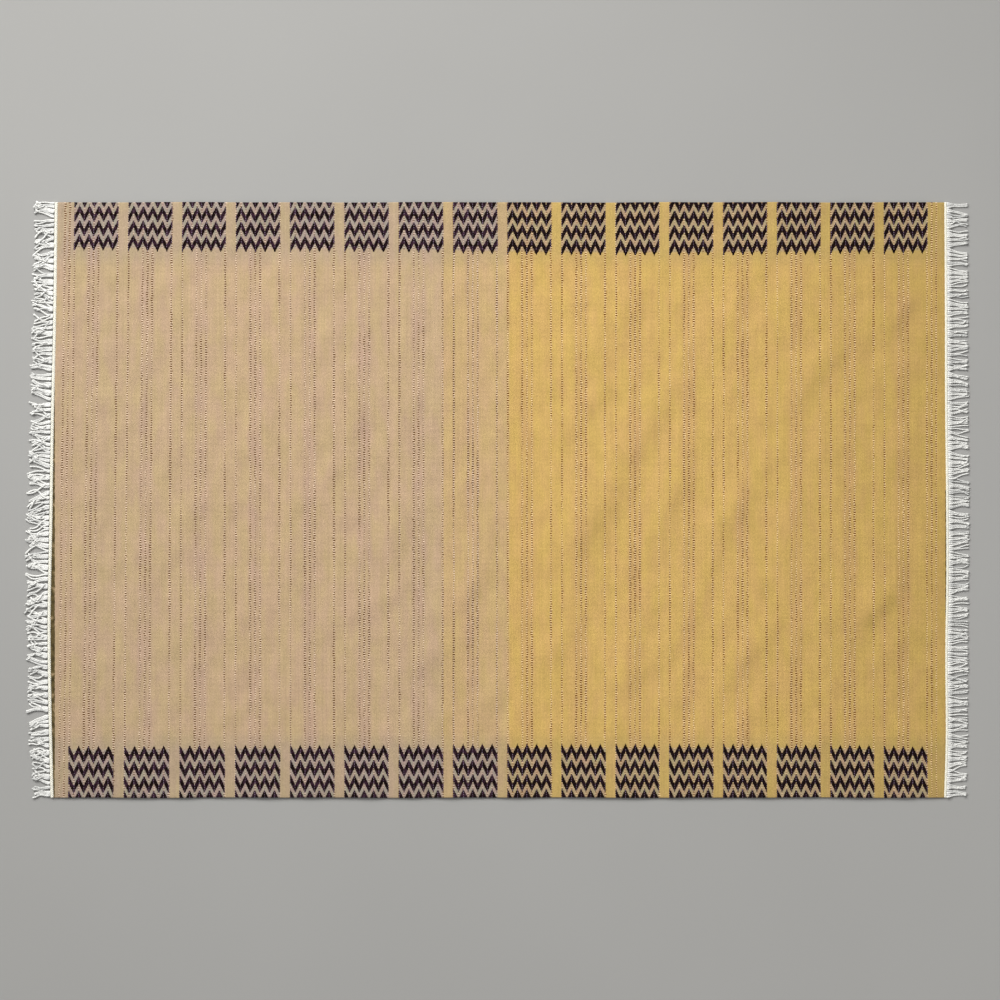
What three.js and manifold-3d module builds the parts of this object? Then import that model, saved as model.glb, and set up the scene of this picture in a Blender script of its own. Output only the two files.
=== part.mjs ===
// A handwoven flat rug lying on the floor: a woven field, and at each end an edge cord with a warp fringe.
// Millimetres, +Z up. X runs along the warp and Y along the weft.
// The origin is the middle of the woven field's underside.
import * as THREE from "three";
import { mergeVertices } from "three/addons/utils/BufferGeometryUtils.js";
import Module from "manifold-3d";

const wasm = await Module();
wasm.setup();

// Woven field
const FIELD_LENGTH = 1796;
const FIELD_WIDTH = 1200;
const FIELD_THICKNESS = 4;

// Edge cord that holds the warp ends, parted from the field by a hairline gap
const CORD_WIDTH = 6;
const CORD_THICKNESS = 4;
const PIECE_GAP = 0.3;

// Soft rounding of the field's and the cords' edges
const EDGE_ROUND = 1.2;
const FIELD_ROUND_STEPS = 3;
const CORD_ROUND_STEPS = 1;
const END_STEPS = 24;

// Fringe strands: four-sided yarns that lie level on the floor, drawn together in locks
const STRANDS_PER_END = 150;
const STRAND_SIDES = 4;
const STRAND_STEPS = 3;
const STRAND_WIDTH = 4.4;
const STRAND_HEIGHT = 3.3;
const STRAND_TIP_SHARE = 0.76;
const STRAND_CREST_SHARE = 0.6;
const STRAND_ROOT_DEPTH = 3.5;
const LOCK_FEWEST = 3;
const LOCK_MOST = 6;
const LOCK_DRAW = 0.38;
const LOCK_LEAN = 4;
const LOCK_SWAY = 1;
const BEND_POWER = 1.5;

// Rows run across the rug. Bow is how far the woven end swells outwards there,
// and fringe is the strands' usual length beyond the cord.
const LEFT_END = {
  name: "fringe_left",
  side: -1,
  seed: 12,
  unevenness: 4.5,
  rows: [
    { across: -600, bow: 3, fringe: 33 },
    { across: -400, bow: 7.5, fringe: 38 },
    { across: -250, bow: 9, fringe: 40 },
    { across: -50, bow: 5.5, fringe: 42 },
    { across: 150, bow: 2.5, fringe: 39 },
    { across: 350, bow: -2, fringe: 39 },
    { across: 600, bow: -5.5, fringe: 38 },
  ],
};
const RIGHT_END = {
  name: "fringe_right",
  side: 1,
  seed: 29,
  unevenness: 2,
  rows: [
    { across: -600, bow: -2, fringe: 35 },
    { across: -500, bow: 1, fringe: 34.5 },
    { across: -300, bow: 0.5, fringe: 36.5 },
    { across: -150, bow: 2.5, fringe: 36 },
    { across: 0, bow: 2, fringe: 37 },
    { across: 200, bow: 0, fringe: 37 },
    { across: 400, bow: -0.5, fringe: 37.5 },
    { across: 600, bow: -1.5, fringe: 37.5 },
  ],
};

const WEAVE = new THREE.MeshStandardMaterial({ color: 0xcdad77, roughness: 0.95, metalness: 0 });
const COTTON = new THREE.MeshStandardMaterial({ color: 0xefece2, roughness: 0.9, metalness: 0 });

// A smooth reading of an end's rows: the bow and the fringe length at any place across the rug.
function readerOf(end) {
  const places = end.rows.map((row) => row.across);
  const values = end.rows.flatMap((row) => [row.bow, row.fringe]);
  const curve = new THREE.CubicInterpolant(places, values, 2);
  return (across) => {
    const [bow, fringe] = curve.evaluate(across);
    return { bow, fringe };
  };
}

// Points along a woven end, from the front selvedge to the back one, moved outwards by a distance.
function endLine(end, outwards) {
  const read = readerOf(end);
  return Array.from({ length: END_STEPS + 1 }, (_, step) => {
    const across = FIELD_WIDTH * (step / END_STEPS - 0.5);
    return new THREE.Vector2(end.side * (FIELD_LENGTH / 2 + read(across).bow + outwards), across);
  });
}

// A flat piece of cloth of that outline, standing on the floor, with rounded upper and lower edges.
function flatPiece(outline, thickness, roundSteps) {
  const made = new THREE.ExtrudeGeometry(new THREE.Shape(outline), {
    depth: thickness - 2 * EDGE_ROUND,
    bevelThickness: EDGE_ROUND,
    bevelSize: EDGE_ROUND,
    bevelOffset: -EDGE_ROUND,
    bevelSegments: roundSteps,
  });
  return made.translate(0, 0, EDGE_ROUND);
}

// The strands of one end, root to tip, gathered into locks whose tips lean and draw together.
function strandRows(end) {
  const read = readerOf(end);
  const pitch = FIELD_WIDTH / STRANDS_PER_END;
  THREE.MathUtils.seededRandom(end.seed);
  const spread = (reach) => reach * (2 * THREE.MathUtils.seededRandom() - 1);
  const rows = [];
  while (rows.length < STRANDS_PER_END) {
    const extra = Math.floor((LOCK_MOST - LOCK_FEWEST + 1) * THREE.MathUtils.seededRandom());
    const count = Math.min(LOCK_FEWEST + extra, STRANDS_PER_END - rows.length);
    const middle = pitch * (rows.length + count / 2) - FIELD_WIDTH / 2;
    const lean = count < LOCK_FEWEST ? 0 : spread(LOCK_LEAN);
    const sway = spread(LOCK_SWAY);
    for (let member = 0; member < count; member++) {
      const offset = pitch * (member - (count - 1) / 2);
      const root = middle + offset;
      rows.push({
        root,
        start: FIELD_LENGTH / 2 + read(root).bow + PIECE_GAP + CORD_WIDTH - STRAND_ROOT_DEPTH,
        length: STRAND_ROOT_DEPTH + read(root).fringe + spread(end.unevenness),
        drift: lean - offset * LOCK_DRAW,
        sway,
      });
    }
  }
  return rows;
}

// One strand: a tapered four-sided rod bent along its path, with its lower side on the floor.
function strand(row, side) {
  const radius = STRAND_WIDTH / Math.SQRT2;
  const rod = new THREE.CylinderGeometry(
    radius * STRAND_TIP_SHARE,
    radius,
    1,
    STRAND_SIDES,
    STRAND_STEPS,
    false,
    Math.PI / STRAND_SIDES,
  );
  const points = rod.getAttribute("position");
  const flatten = STRAND_HEIGHT / STRAND_WIDTH;
  for (let index = 0; index < points.count; index++) {
    const along = points.getY(index) + 0.5;
    const taper = THREE.MathUtils.lerp(1, STRAND_TIP_SHARE, along);
    const above = points.getZ(index);
    const crest = above > 0 ? STRAND_CREST_SHARE : 1;
    const bend = row.drift * along ** BEND_POWER + row.sway * Math.sin(Math.PI * along);
    points.setXYZ(
      index,
      side * (row.start + row.length * along),
      row.root + bend - side * crest * points.getX(index),
      (above + (taper * STRAND_WIDTH) / 2) * flatten,
    );
  }
  return rod;
}

// A geometry's closed surface as a solid that can be joined to others.
function solidOf(geometry) {
  const bare = geometry.clone();
  bare.deleteAttribute("normal");
  bare.deleteAttribute("uv");
  const merged = mergeVertices(bare);
  return new wasm.Manifold(
    new wasm.Mesh({
      numProp: 3,
      vertProperties: merged.getAttribute("position").array,
      triVerts: new Uint32Array(merged.index.array),
    }),
  );
}

function geometryOf(solid) {
  const { vertProperties, triVerts } = solid.getMesh();
  const geometry = new THREE.BufferGeometry();
  geometry.setAttribute("position", new THREE.BufferAttribute(vertProperties, 3));
  geometry.setIndex(new THREE.BufferAttribute(triVerts, 1));
  geometry.computeVertexNormals();
  return geometry;
}

function node(name, geometry, material) {
  const mesh = new THREE.Mesh(geometry, material);
  mesh.name = name;
  return mesh;
}

// The woven field: one flat sheet between the two bowed ends and the straight selvedges.
function rugField() {
  const outline = [...endLine(RIGHT_END, 0), ...endLine(LEFT_END, 0).reverse()];
  return node("rug_field", flatPiece(outline, FIELD_THICKNESS, FIELD_ROUND_STEPS), WEAVE);
}

// One end's edge cord, with its fringe strands rooted in it.
function fringe(end) {
  const inner = endLine(end, PIECE_GAP);
  const outer = endLine(end, PIECE_GAP + CORD_WIDTH);
  const cord = solidOf(flatPiece([...outer, ...inner.reverse()], CORD_THICKNESS, CORD_ROUND_STEPS));
  const strands = strandRows(end).map((row) => solidOf(strand(row, end.side)));
  return node(end.name, geometryOf(wasm.Manifold.union([cord, ...strands])), COTTON);
}

const rug = new THREE.Group();
rug.name = "handwoven_rug";
rug.add(rugField(), fringe(LEFT_END), fringe(RIGHT_END));

export default rug;
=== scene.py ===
"""A handwoven flat rug with zigzag blocks, dotted weft lines, twined end cords and warp fringes.

Everything is in metres in the frame's own axes: X along the warp, Y along the weft, Z up from the floor.
"""

import math
from typing import NamedTuple

import bpy
import numpy as np
from bpy.props import FloatProperty, FloatVectorProperty, IntProperty, PointerProperty
from bpy.types import Operator, Panel, PropertyGroup
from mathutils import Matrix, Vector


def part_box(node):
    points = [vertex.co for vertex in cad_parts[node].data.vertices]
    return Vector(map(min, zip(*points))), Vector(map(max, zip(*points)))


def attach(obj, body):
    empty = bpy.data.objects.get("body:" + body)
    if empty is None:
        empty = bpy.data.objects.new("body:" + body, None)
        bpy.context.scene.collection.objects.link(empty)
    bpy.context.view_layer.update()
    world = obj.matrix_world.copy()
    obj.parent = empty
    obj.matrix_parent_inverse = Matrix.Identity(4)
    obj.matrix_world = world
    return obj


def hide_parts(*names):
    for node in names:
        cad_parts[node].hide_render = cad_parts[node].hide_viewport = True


bl_info = {
    "name": "Handwoven rug",
    "version": (1, 0, 0),
    "blender": (4, 5, 0),
    "location": "3D View > Sidebar > Rug",
    "description": "Weaves a flat rug with zigzag blocks, twined end cords and fringes",
    "category": "Object",
}

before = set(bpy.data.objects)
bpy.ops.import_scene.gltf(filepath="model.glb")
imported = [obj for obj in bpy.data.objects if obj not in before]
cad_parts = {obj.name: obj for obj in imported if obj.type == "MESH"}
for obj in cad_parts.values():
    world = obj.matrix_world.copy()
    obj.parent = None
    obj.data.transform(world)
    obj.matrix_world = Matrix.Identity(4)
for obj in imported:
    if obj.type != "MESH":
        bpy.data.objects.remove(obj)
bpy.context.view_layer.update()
FIELD_LOW, FIELD_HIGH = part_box("rug_field")
MM = 0.001

# Names of the maps and of the tint that the materials read
CLOTH_MAP = "cloth"
YARN_MAP = "yarn"
BAKE_MAP = "OFBake"
TINT = "yarn_tint"


def dye(red, green, blue):
    """A screen colour of 0 to 255 as the linear colour that shaders take, by the usual screen curve."""
    shares = (channel / 255 for channel in (red, green, blue))
    return tuple(share / 12.92 if share <= 0.04045 else ((share + 0.055) / 1.055) ** 2.4 for share in shares)


def length(name, description, default):
    """A size in metres that a user may change."""
    return FloatProperty(name=name, description=description, default=default, unit="LENGTH", precision=5)


def colour(name, description, default):
    """A dye or paint that a user may change."""
    return FloatVectorProperty(name=name, description=description, default=default, subtype="COLOR", size=3)


def tally(name, description, default):
    """A whole number that a user may change."""
    return IntProperty(name=name, description=description, default=default)


class EndRow(NamedTuple):
    """A place across the rug, the woven end's outward bow there and the fringe's length, in millimetres."""

    across: float
    bow: float
    fringe: float


class RugEnd(NamedTuple):
    """One fringed end of the rug and the temper of its yarns.

    Neighbouring yarns leave the cord in wisps, and neighbouring wisps run together in clumps. Held is
    the share of a wisp's drawing together that is done inside the cord. Spare is the length that the
    curls take up, and greyness is the least share of shaded cotton in a yarn.
    """

    node: str
    word: str
    side: int
    seed: int
    rows: tuple
    yarns: int
    yarn_radius: float
    ply: float
    root_swell: float
    cord_radius: float
    cord_height: float
    rise: float
    wisp: tuple
    clump: tuple
    held: float
    draw: float
    gather: float
    crossing: float
    lean: float
    spread: float
    curl: float
    waviness: float
    ragged: float
    spare: float
    greyness: float


LEFT_END = RugEnd(
    node="fringe_left",
    word="left",
    side=-1,
    seed=31,
    rows=(
        EndRow(-600, 3, 33),
        EndRow(-400, 7.5, 38),
        EndRow(-250, 9, 40),
        EndRow(-50, 5.5, 42),
        EndRow(150, 2.5, 39),
        EndRow(350, -2, 39),
        EndRow(600, -5.5, 38),
    ),
    yarns=290,
    yarn_radius=1.9 * MM,
    ply=0.12,
    root_swell=0.45,
    cord_radius=3.8 * MM,
    cord_height=0.72,
    rise=0.2 * MM,
    wisp=(2, 4),
    clump=(1, 3),
    held=1.0,
    draw=0.62,
    gather=0.45,
    crossing=0.3,
    lean=6.5 * MM,
    spread=6 * MM,
    curl=5.5 * MM,
    waviness=1.1 * MM,
    ragged=0.06,
    spare=1.5 * MM,
    greyness=0.4,
)
RIGHT_END = RugEnd(
    node="fringe_right",
    word="right",
    side=1,
    seed=58,
    rows=(
        EndRow(-600, -2, 35),
        EndRow(-500, 1, 34.5),
        EndRow(-300, 0.5, 36.5),
        EndRow(-150, 2.5, 36),
        EndRow(0, 2, 37),
        EndRow(200, 0, 37),
        EndRow(400, -0.5, 37.5),
        EndRow(600, -1.5, 37.5),
    ),
    yarns=285,
    yarn_radius=1.5 * MM,
    ply=0.2,
    root_swell=0.85,
    cord_radius=3.4 * MM,
    cord_height=0.68,
    rise=0.6 * MM,
    wisp=(1, 3),
    clump=(1, 4),
    held=0.0,
    draw=0.55,
    gather=0.32,
    crossing=0.12,
    lean=3 * MM,
    spread=2.4 * MM,
    curl=2.5 * MM,
    waviness=0.5 * MM,
    ragged=0.025,
    spare=2.5 * MM,
    greyness=0.0,
)
ENDS = (LEFT_END, RIGHT_END)


class Fold(NamedTuple):
    """A soft low ridge in the lying cloth, in millimetres, and its angle in degrees."""

    x: float
    y: float
    length: float
    width: float
    angle: float
    height: float


FOLDS = (
    Fold(195, -14, 230, 92, 64, 6.1),
    Fold(296, 148, 170, 70, 58, 2.6),
    Fold(334, -14, 200, 54, 66, 3.4),
    Fold(471, -20, 190, 62, 58, 3.5),
    Fold(397, -195, 190, 48, 70, 3.0),
    Fold(585, -34, 130, 44, 68, 2.1),
    Fold(683, -208, 120, 42, 78, 1.8),
    Fold(764, -208, 140, 58, 38, 4.2),
    Fold(518, -289, 190, 60, 50, 3.5),
    Fold(262, -343, 200, 68, 78, 2.9),
    Fold(175, 195, 150, 58, 55, 2.4),
    Fold(188, 309, 300, 92, 48, 2.7),
    Fold(656, 276, 160, 54, 52, 2.4),
    Fold(793, 360, 120, 46, 45, 1.6),
    Fold(616, 229, 150, 48, 78, 1.6),
    Fold(101, -296, 150, 62, 70, 1.9),
    Fold(-51, -159, 170, 54, 64, 2.6),
    Fold(-202, -60, 130, 60, 68, 2.4),
    Fold(-121, 228, 140, 46, 86, 1.6),
    Fold(-215, -188, 130, 48, 35, 1.6),
    Fold(-155, -323, 140, 62, 40, 2.6),
    Fold(-296, 161, 140, 46, 86, 1.6),
    Fold(-464, 155, 200, 50, 84, 2.4),
    Fold(-571, 161, 110, 42, 84, 1.6),
    Fold(-661, 141, 120, 46, 70, 1.8),
    Fold(-632, -60, 170, 58, 62, 2.4),
    Fold(-444, -108, 160, 62, 80, 1.9),
    Fold(-518, -215, 110, 42, 80, 1.6),
    Fold(-598, -242, 120, 46, 84, 1.8),
    Fold(-766, -323, 150, 52, 85, 1.6),
)

# How far a fold bends away from straight, and its two flanks as shares of its width
FOLD_CURVE = 0.0006
FOLD_GENTLE = 1.2
FOLD_STEEP = 0.8

# Small lumps all over the lying cloth, longer the way that the folds run
LUMP_HEIGHT = 2.3 * MM
LUMP_LENGTH = 58 * MM
LUMP_WIDTH = 36 * MM
LUMP_ANGLE = math.radians(60)
LUMP_GRID = 80
LUMP_SEED = 7

# The cords hold the cloth flat over this distance from its ends
FLAT_END = 45 * MM

# The selvedges waver: how far, how deep into the cloth, and in radians a metre how quickly and how slowly
WAVER = 0.7 * MM
WAVER_DEPTH = 40 * MM
WAVER_QUICK = 19
WAVER_SLOW = 7.3

# The weave itself is a little thinner than the solid, which takes in its unevenness
WEAVE_SHARE = 0.9

# Rounding of the cloth's edges, where its faces meet more sharply than this
RIM_SEGMENTS = 3
RIM_ANGLE = math.radians(60)

# Flat layout of the cloth: the underside, whose normals fall below this height, in a low band, the upper face
# above it, and room round them for the rim
UNDER_NORMAL = -0.5
UNDER_HEIGHT = 0.18
UPPER_START = 0.2
ROOM_LONG = 60 * MM
ROOM_WIDE = 20 * MM

# Flat layout of a yarn in its cell of a sheet of strips: the strip, and the discs that close its ends
STRIP_MARGIN = 0.05
STRIP_WIDE = 0.8
STRIP_LONG = 0.9
LID_ASIDE = 0.93
LID_START = 0.1
LID_APART = 0.8
LID_RADIUS = 0.03

# End cords: steps along them and sides round them, their grooves, tips and tints, a strand's radius as a
# share of the cord's, and the cord's turns to one turn of a strand
CORD_STRANDS = 3
CORD_STEPS = 1300
CORD_SIDES = 8
CORD_GROOVE = 0.15
CORD_TIP = 0.5
CORD_TINTS = (0.25, 0.45)
STRAND_SHARE = 0.5
STRAND_TURN = 4

# Fringe yarns and the fibres at their ends: places from root to tip, sides round them and their tips
YARN_PARTS = np.linspace(0, 1, 37)
YARN_SIDES = 6
YARN_TIP = 0.6
FIBRE_SIDES = 3
FIBRE_TAPER = np.array((1.0, 0.9, 0.7, 0.3))

# A yarn's thickness by shares of its length: the swollen root, and the cut end that opens a little
ROOT_REACH = 0.35
OPEN_START = 0.85
OPEN_REACH = 0.1
OPEN_SWELL = 0.15

# Roots of the yarns: how far they stray, in pitches, and how deep they start, in cord radii
ROOT_STRAY = 0.1
ROOT_DEPTH = 1.3

# How a loose yarn runs, by shares of its length: where movements start, are done, or by what power they grow
DRAW_REACH = 0.3
PULL_RANGE = (0.75, 1.1)
PULL_START = 0.1
PULL_REACH = 0.55
LEAN_POWER = 1.5
SPREAD_START = 0.4
HOOK_POWER = 5
HOOK_LOSS = 0.2
HOOK_LOSS_POWER = 4
WAVE_ANGLE = 9
FREE_REACH = 0.4

# Yarns start over each other, up to this many layers, each so many radii high
LAYERS = 1.8
LAYER_HEIGHT = 1.5

# How yarns rest: the height of their middles in radii, and the share of their length that the cord holds up
REST_HEIGHT = 1.03
HOLD_REACH = 0.45

# How yarns settle, in radii or as shares of the way: steps next to the cord stay, and crossings part upwards
CLOSENESS = 0.7
HELD_STEPS = 3
CLIMB = 0.25
PUSH_SHARE = 0.25
PUSH_LIMIT = 0.5
SINK = 0.06
STIFFNESS = 0.2

# Loose fibres: how far their ways part and bend in each direction, and their lengths
FIBRE_PARTING = 0.45 * np.array((1, 1, 0.5))
FIBRE_BEND = 0.35 * np.array((1, 1, 0.3))
FIBRE_LENGTHS = (0.5, 1.4)

# The stage: a wide round floor, and where each light stands
FLOOR_RADIUS = 40.0
FLOOR_CORNERS = 96
DAY_PLACE = (-4.4, 5.9, 5.2)
DAY_ANGLE = math.radians(30)
KEY_PLACE = (-1.8, 3.2, 3.0)
KEY_SIZE = 2.8
KEY_SPREAD = math.radians(100)
FILL_PLACE = (2.6, -1.6, 3.2)
FILL_SIZE = 3.2


class Creep(NamedTuple):
    """A stretch along the rug over which zigzag rows move away from their selvedge, in millimetres."""

    begin: float
    end: float
    by: float


class RowEdge(NamedTuple):
    """The zigzag rows of one selvedge, in millimetres.

    First is the place of the row that the selvedge cuts, swing is a zigzag's height from turn to turn,
    and stroke is the rows' thickness at the rug's two ends.
    """

    first: float
    creeps: tuple
    pitch: float
    swing: float
    stroke: tuple


BACK_ROWS = RowEdge(
    first=-6,
    creeps=(Creep(-850, -600, 2.7), Creep(-350, 250, 7.2), Creep(350, 850, -4.4)),
    pitch=29.1,
    swing=19,
    stroke=(15.4, 17),
)
FRONT_ROWS = RowEdge(
    first=-4,
    creeps=(Creep(-750, -550, 2), Creep(-350, 50, 2), Creep(500, 700, -2), Creep(700, 850, -3)),
    pitch=30.25,
    swing=20,
    stroke=(16.8, 17.2),
)

# Distance from mid-rug over which the dyes and the zigzags' thickness change
CHANGE_REACH = 0.9

# Where the ground's dyes stand along the rug, in metres from its middle, and where its right half sets in
DYE_ZONES = (
    (-0.9, "old_beige"),
    (-0.5, "beige"),
    (-0.118, "beige"),
    (-0.116, "honey"),
    (0.014, "honey"),
    (0.016, "mustard"),
    (0.45, "mustard"),
    # The far right's mustard is darkened by painted shade of the light falling off towards that end
    (0.9, "far_mustard_and_shade"),
)
RIGHT_HALF = (0.0, 20 * MM)

# The middle one of the three dotted lines inside a block's width, counted in turning lines
TRIPLE_LINE = 4.0

# Steps that keep the chance wear of neighbouring lines, blocks and dots apart
LINE_STRIDE = 0.37
BLOCK_STRIDE = 5.1
FADE_STRIDE = 0.5
DOT_STRIDE = 13.0


class Grain(NamedTuple):
    """A chance unevenness of the weft: how quickly it changes along and across, and how it comes and goes."""

    along: float
    across: float
    low: float
    high: float
    least: float = 0.0
    most: float = 1.0


WORN = Grain(1.0, 6.0, 0.35, 0.65)
FADED = Grain(1.0, 8.0, 0.3, 0.65)
BLUSH = Grain(45.0, 9.0, 0.3, 0.7, 0.3, 1.0)
CAST = Grain(38.0, 12.0, 0.3, 0.7)
HUE = Grain(90.0, 45.0, 0.35, 0.65)
PLUM_STREAK = Grain(0.16, 90.0, 0.42, 0.7)
PICK_STREAK = Grain(0.4, 4.0, 0.25, 0.75, 0.95, 1.05)
SLUB = Grain(330.0, 260.0, 0.25, 0.75, 0.925, 1.075)
# Soft lighter and darker patches some centimetres across
BLOTCHES = Grain(40.0, 30.0, 0.25, 0.75, 0.955, 1.045)

# The blush between close lines: its reach in turning lines, its strength at the left end and in the left half
BLUSH_REACH = (1.0, 1.9)
END_BLUSH = 0.6
END_BLUSH_REACH = 6 * MM
LEFT_BLUSH = 0.65

# How strongly the casts tint the ground, and where the painted shade sets in that darkens and greys the weft
# towards the selvedges
PATCH_STRENGTH = 0.8
CAST_STRENGTH = 0.8
SELVEDGE_SHADE = (460 * MM, 500 * MM)

# Dots: their thinnest half width and what wear adds to it, as shares of a line's width
DOT_THIN = 0.4
DOT_THICKEN = 0.3

# Dots: their faintest colour, what wear and chance add to it, and what light dots and dots in a block lose
DOT_LEAST = 0.4
DOT_WEAR = 0.5
DOT_CHANCE = 0.3
LIGHT_DOT_LOSS = 0.1
PATCH_DOT_LOSS = 0.45

# Plum in the dark weft of each half, and the glint of light dots on it
PLUM_LEFT = 0.9
PLUM_RIGHT = 0.3
GLINT_LEAST = 0.25
GLINT_WEAR = 0.4

# The beads of the weft: how picks stray, how beads differ and the painted shade that darkens them towards
# their edges
STRAY_STRETCH = 0.35
STRAY_SCALE = 16.0
CROWN_SHARE = 0.65
BEAD_SPREAD = 0.09
BEAD_SHADE = (0.1, 0.8, 0.92, 1.03)
BEAD_DEPTH = 0.4 * MM
FUZZ_SCALE = 900.0
FUZZ_SHARE = 0.2

# Zigzags: how far a block runs past its outer turning lines, and the soft inner edge of its light ground
BLOCK_MARGIN = 0.12
PATCH_EDGE = (-4 * MM, 3 * MM)

# Painted shade of the cloth's turned-under ends, drawn as dark olive heading picks: how far it shows at an
# end, its stretch of the right end and its mottling
END_SHADE_EDGE = 0.6 * MM
END_SHADE_FADE = 1.2 * MM
END_SHADE_RAGGED = 3 * MM
END_SHADE_SCALE = 90.0
END_SHADE_MIDDLE = -107 * MM
END_SHADE_REACH = 127 * MM
MOTTLE_SCALE = 70.0
MOTTLE_SHADE = (0.3, 0.6, 0.45, 1.2)
MOTTLE_WOOL = (0.55, 0.75, 0.0, 0.7)

# Cotton: its fibres round and along a yarn, and how tint and fibre share in its shade
FIBRE_ROUND = 9.0
FIBRE_SLANT = 700.0
FIBRE_CHANGE = 160.0
TINT_STRIDE = 40.0
TINT_SHARE = 0.7
SHADE_START = 0.1
SHADE_EDGE = (0.1, 0.95)
COTTON_DEPTH = 0.12 * MM

# The floor's faint clouds
CLOUD_SCALE = 1.3
CLOUD_SHADE = (0.3, 0.7, 0.985, 1.015)


class RugClothSettings(PropertyGroup):
    """Sizes of the woven sheet as it lies."""

    long_side: length("Length", "Woven length between the straight cloth ends", 1.796)
    wide_side: length("Width", "Woven width between the selvedges", FIELD_HIGH.y - FIELD_LOW.y)
    thickness: length("Thickness", "Thickness of the weave", WEAVE_SHARE * (FIELD_HIGH.z - FIELD_LOW.z))
    cell: length("Cell", "Size of a cell of the sheet's mesh", 8 * MM)
    rim: length("Rim", "Rounding of the selvedges and ends", 1.2 * MM)
    floor_gap: length("Floor gap", "Hairline between the floor and the underside", 0.15 * MM)
    end_reach: length("End reach", "How far into the cloth an end's bow is taken up", 40 * MM)
    skew_reach: length("Skew reach", "How far into the cloth the left end's slant is taken up", 480 * MM)
    skew_back: length("Back skew", "Shift of the picks at the left end's back corner", 7.5 * MM)
    skew_front: length("Front skew", "Shift of the picks at the left end's front corner", 5.5 * MM)


class RugWeaveSettings(PropertyGroup):
    """Sizes and dyes of the woven figures."""

    warp_pitch: length("Warp pitch", "Spacing of the ribs that the hidden warp makes", 2.37 * MM)
    pick_pitch: length("Pick pitch", "Spacing of the weft picks along the warp", 1.15 * MM)
    dot_width: length("Dot width", "Width of a dotted line", 2.9 * MM)
    dot_jitter: length("Dot jitter", "How far single dots stray to either side of their line", 1.2 * MM)
    dark_share: FloatProperty(name="Dark share", description="Share of dark in a dotted line", default=0.58)
    wander: length("Wander", "How far a pick strays from its straight line", 3 * MM)
    repeat: length("Repeat", "Distance from one zigzag block to the next", 109.12 * MM)
    first_block: length("First block", "Place of the first block's outer line", -863.0 * MM)
    blocks: tally("Blocks", "Zigzag blocks along each selvedge", 16)
    hand_drift: length("Hand drift", "How far the blocks run ahead of an even repeat in mid-rug", 5.8 * MM)
    drift_reach: length("Drift reach", "Distance from mid-rug at which the blocks are back in step", 0.82)
    turn: length("Turn", "Distance between a zigzag's turning lines", 9.68 * MM)
    turns: tally("Turns", "Half waves in a block", 9)
    full_rows: tally("Full rows", "Whole zigzag rows in a block", 3)
    old_beige: colour("Old beige", "Weft of the far left", dye(176, 153, 121))
    beige: colour("Beige", "Weft of the left half", dye(179, 154, 121))
    honey: colour("Honey", "Weft of the narrow middle zone", dye(184, 156, 112))
    mustard: colour("Mustard", "Weft of the right half", dye(192, 159, 94))
    # Mustard weft, darkened by painted shade where the light falls off at the far right
    far_mustard_and_shade: colour("Old mustard", "Weft of the far right", dye(179, 149, 86))
    rose_cast: colour("Rose cast", "Blush of the ground between close lines", (0.94, 0.905, 1.07))
    block_left: colour("Block ground left", "Light weft inside the left blocks", dye(155, 141, 131))
    block_right: colour("Block ground right", "Light weft inside the right blocks", dye(165, 145, 119))
    pink_cast: colour("Pink cast", "Tint of the pinker weft", (1.0, 0.955, 1.045))
    straw_cast: colour("Straw cast", "Tint of the yellower weft", (0.985, 1.0, 0.9))
    moss_cast: colour("Moss cast", "Tint of the greener weft in the blocks", (0.94, 1.04, 0.96))
    brick_cast: colour("Brick cast", "Tint of the redder weft in the blocks", (1.08, 0.95, 0.92))
    # Painted shade: the weft darker and greyer towards the selvedges
    selvedge_shade: colour("Edge cast", "Tint of the greyer weft near the selvedges", (0.89, 0.93, 1.0))
    figure: colour("Figure", "Dark weft of the zigzags", dye(16, 4, 2))
    plum: colour("Plum", "Plum streaks in the dark weft", dye(53, 30, 44))
    dot_brown: colour("Brown dot", "Dark pick of a dotted line in the left half", dye(92, 60, 24))
    dot_olive: colour("Olive dot", "Dark pick of a dotted line in the right half", dye(104, 60, 0))
    dot_pink: colour("Pink dot", "Light pick of a dotted line in the left half", dye(219, 194, 168))
    dot_straw: colour("Straw dot", "Light pick of a dotted line in the right half", dye(229, 199, 150))
    lilac: colour("Lilac", "Light dots on the turning lines of a zigzag", dye(158, 136, 160))
    # Painted shade: the dark olive that stands for the shadowed, turned-under ends of the cloth
    end_shade_olive: colour("Olive", "Heading picks in the bulge of the ends", dye(84, 72, 44))


class RugFringeSettings(PropertyGroup):
    """Sizes and colours of the cotton yarns at both ends."""

    twist: length("Twist", "Length of one turn of a yarn's plies", 10 * MM)
    cord_twist: length("Cord twist", "Length of one turn of an end cord's strands", 11 * MM)
    fibre_radius: length("Fibre radius", "Radius of the loose fibres at the cut yarn ends", 0.16 * MM)
    fibre_reach: length("Fibre reach", "Usual length of a loose fibre", 3 * MM)
    fibres: tally("Fibres", "Loose fibres at each yarn end", 4)
    cord_tuck: length("Cord tuck", "How far an end cord presses into the woven end", 2.1 * MM)
    cord_span: length("Cord span", "Width from the woven end to the free part of the yarns", 6.3 * MM)
    settle_rounds: tally("Settling", "Rounds in which the yarns settle on the floor", 70)
    cotton: colour("Cotton", "Bleached cotton of the yarns", dye(225, 224, 219))
    shade: colour("Shaded cotton", "Greyer yarns", dye(186, 186, 183))
    cream: colour("Cream", "Cotton of the end cords", dye(228, 225, 211))
    dull_cream: colour("Dull cream", "Shaded cotton of the end cords", dye(207, 204, 190))


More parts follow.
